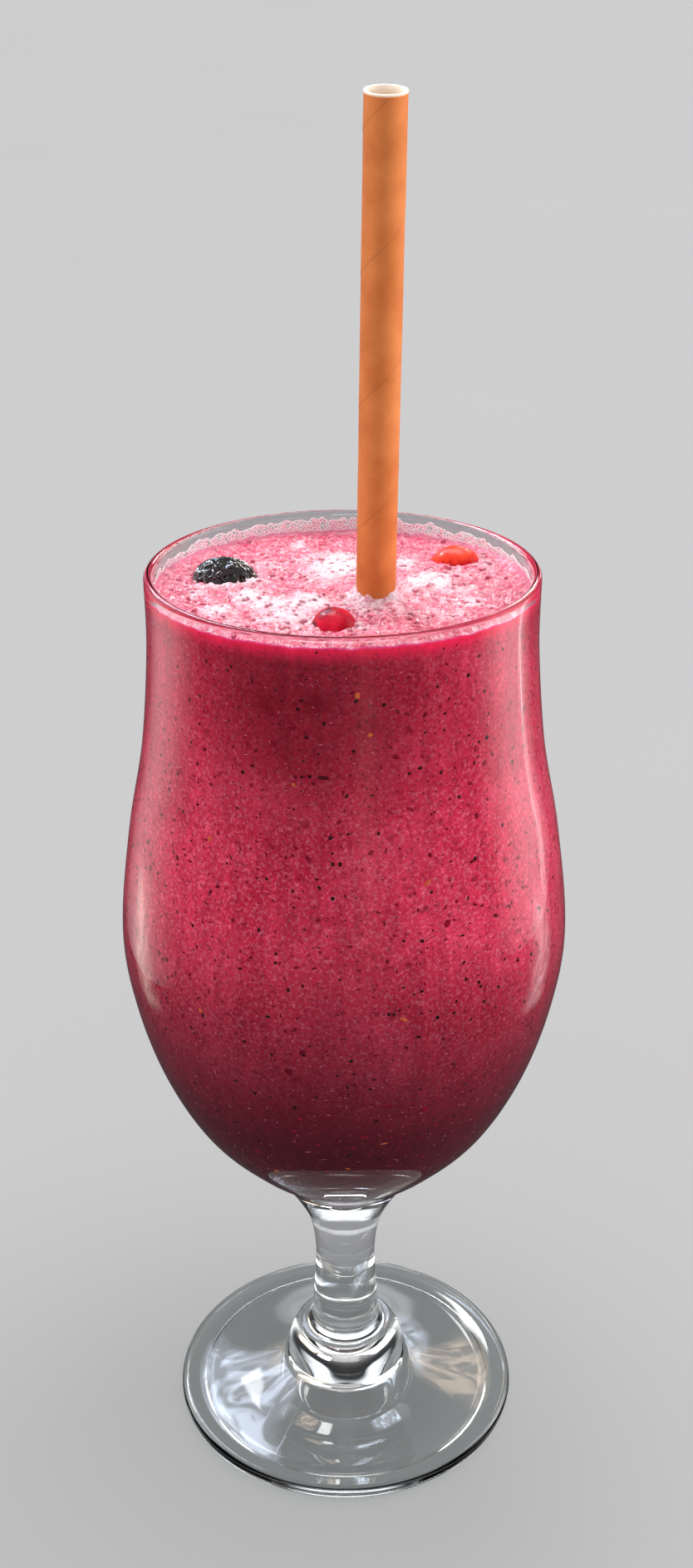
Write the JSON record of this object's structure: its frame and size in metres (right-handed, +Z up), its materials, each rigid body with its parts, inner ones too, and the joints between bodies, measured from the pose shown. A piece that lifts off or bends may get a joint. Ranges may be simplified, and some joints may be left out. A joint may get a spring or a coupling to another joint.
{
  "type": "berry smoothie in a stemmed glass",
  "caption": "Thick pink berry smoothie with a frothy top and whole berries, in a bulbous stemmed glass with a paper drinking straw, ready to serve",
  "frame": {"origin": "centre of the underside of the glass's foot, on the surface that it stands on", "axes": "+Z up along the glass's axis; -Y towards the viewer of the picture, the side that the straw leans to; +X to that viewer's right"},
  "size_m": [0.0918, 0.0918, 0.2885],
  "materials": {
    "clear_glass": "polished",
    "berry_drink": "satin",
    "kraft_paper": "matte",
    "dark_berry_skin": "satin",
    "deep_red_berry_skin": "gloss",
    "red_berry_skin": "gloss"
  },
  "bodies": {
    "root": {"glass": "clear_glass", "smoothie": "berry_drink", "straw": "kraft_paper", "dark_berry": "dark_berry_skin", "red_berry_front": "deep_red_berry_skin", "red_berry_back": "red_berry_skin"}
  },
  "joints": []
}
